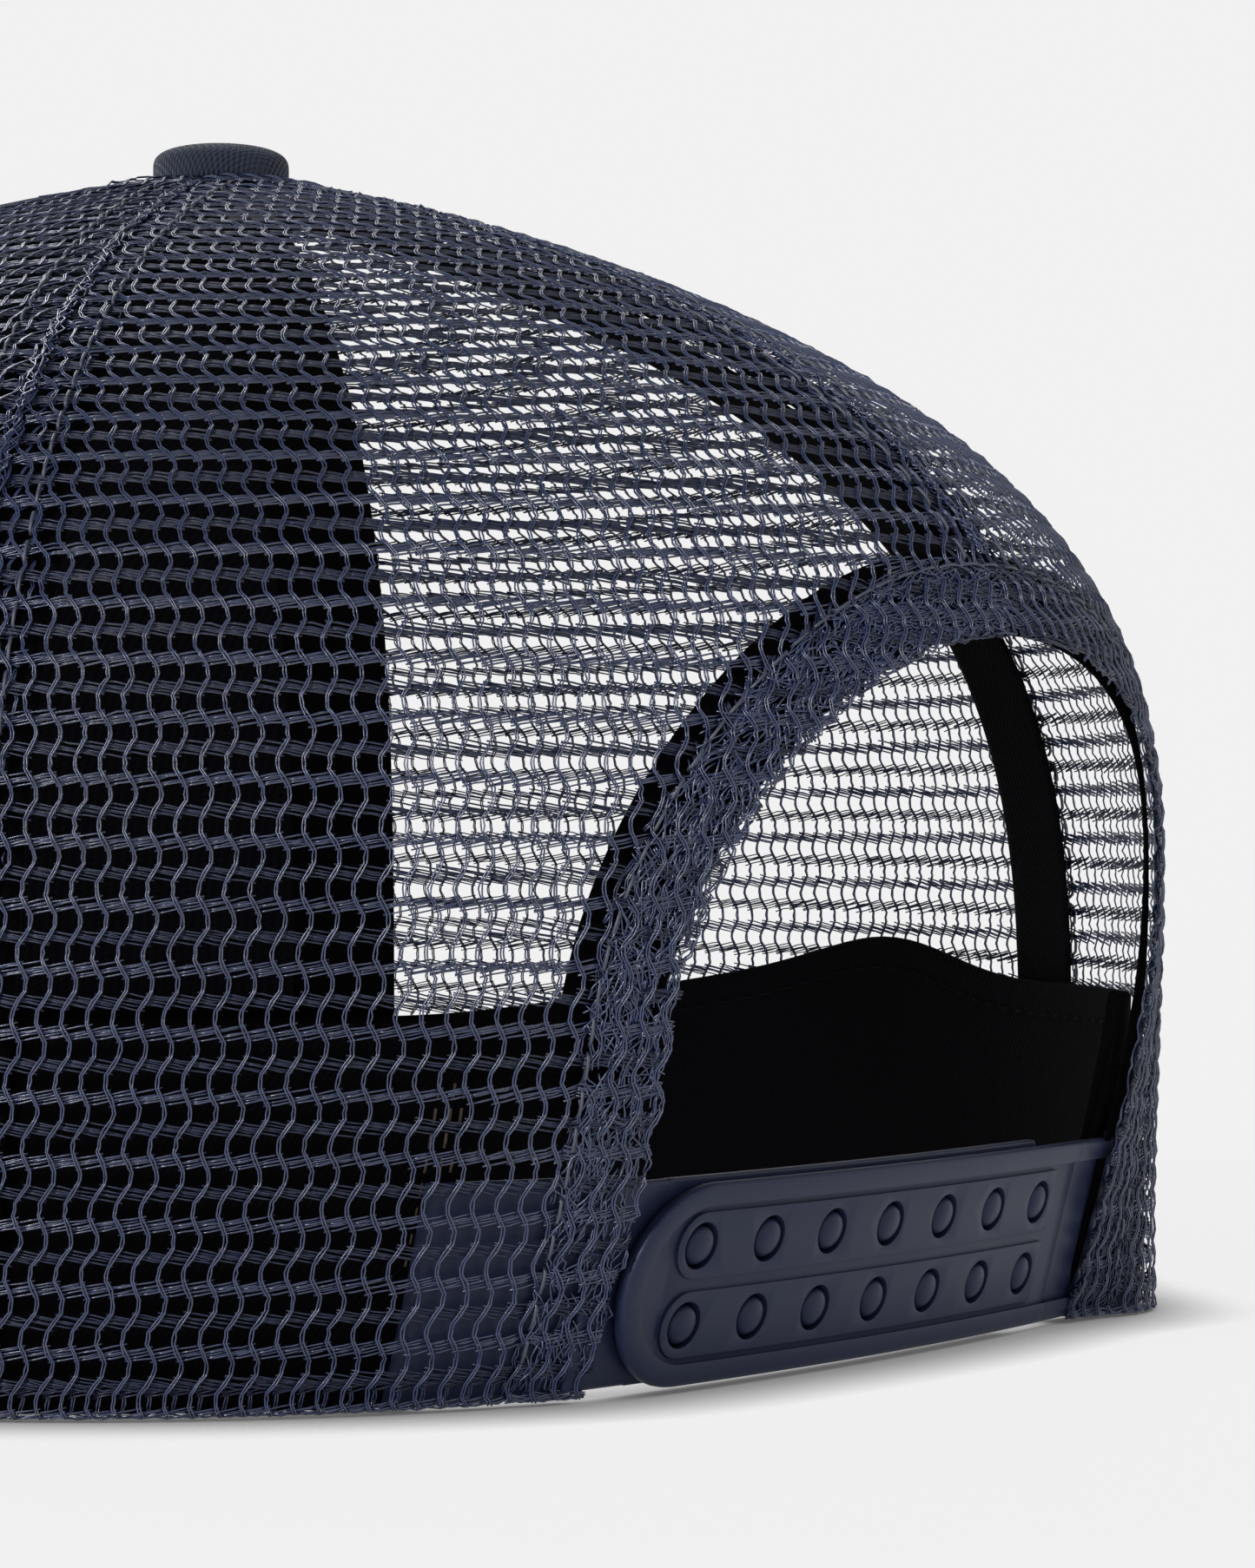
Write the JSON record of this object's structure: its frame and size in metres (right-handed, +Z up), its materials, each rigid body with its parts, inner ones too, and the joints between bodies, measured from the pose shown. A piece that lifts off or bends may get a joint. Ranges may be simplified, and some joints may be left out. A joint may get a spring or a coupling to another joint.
{
  "type": "trucker mesh cap",
  "caption": "Trucker cap with a solid twill front and curved visor, open net sides and rear, a covered top button, and a plastic snap strap under an arched rear opening.",
  "frame": {"origin": "middle of the overall base, on the surface that the cap's rim stands on", "axes": "+Z up, -Y toward the visor, +X toward the wearer's left"},
  "size_m": [0.18, 0.2682, 0.1178],
  "materials": {
    "navy_twill": "matte twill weave",
    "navy_net": "open knitted net with a slight sheen",
    "black_tape": "matte twill tape",
    "black_twill": "matte twill weave",
    "stiffener_cloth": "stiff open-weave backing cloth",
    "button_metal": "plain pressed steel",
    "visor_board": "matte sheet",
    "navy_plastic": "satin moulded plastic"
  },
  "bodies": {
    "cap": {"front_panel_left": "navy_twill", "front_panel_right": "navy_twill", "front_stiffener": "stiffener_cloth", "side_mesh_left": "navy_net", "side_mesh_right": "navy_net", "rear_mesh_left": "navy_net", "rear_mesh_right": "navy_net", "tape_front_left": "black_tape", "tape_front_right": "black_tape", "tape_side_left": "black_tape", "tape_side_right": "black_tape", "tape_centre_front": "black_tape", "tape_centre_rear": "black_tape", "arch_binding": "black_tape", "sweatband": "black_twill", "button_cover": "navy_twill", "button_shell": "button_metal", "button_washer": "button_metal", "visor_board": "visor_board", "visor_cover_top": "navy_twill", "visor_cover_bottom": "navy_twill", "hole_strap_bend": "navy_plastic", "hole_strap_tab": "navy_plastic", "peg_strap_bend": "navy_plastic", "peg_strap_tab": "navy_plastic"},
    "hole_strap_body": {"hole_strap": "navy_plastic"},
    "peg_strap_body": {"peg_strap": "navy_plastic"}
  },
  "joints": [
    {"name": "hole_strap_swing", "type": "hinge", "parent": "cap", "child": "hole_strap_body", "pos_m": [-0.0352, 0.11677, 0.0093], "axis": [0, 0, 1], "range_deg": [0, 60], "stiffness_Nm_per_rad": 0.004, "deforming": ["hole_strap_bend"]},
    {"name": "peg_strap_swing", "type": "hinge", "parent": "cap", "child": "peg_strap_body", "pos_m": [0.035, 0.11678, 0.0093], "axis": [0, 0, 1], "range_deg": [0, 20], "stiffness_Nm_per_rad": 0.004, "deforming": ["peg_strap_bend"]}
  ]
}
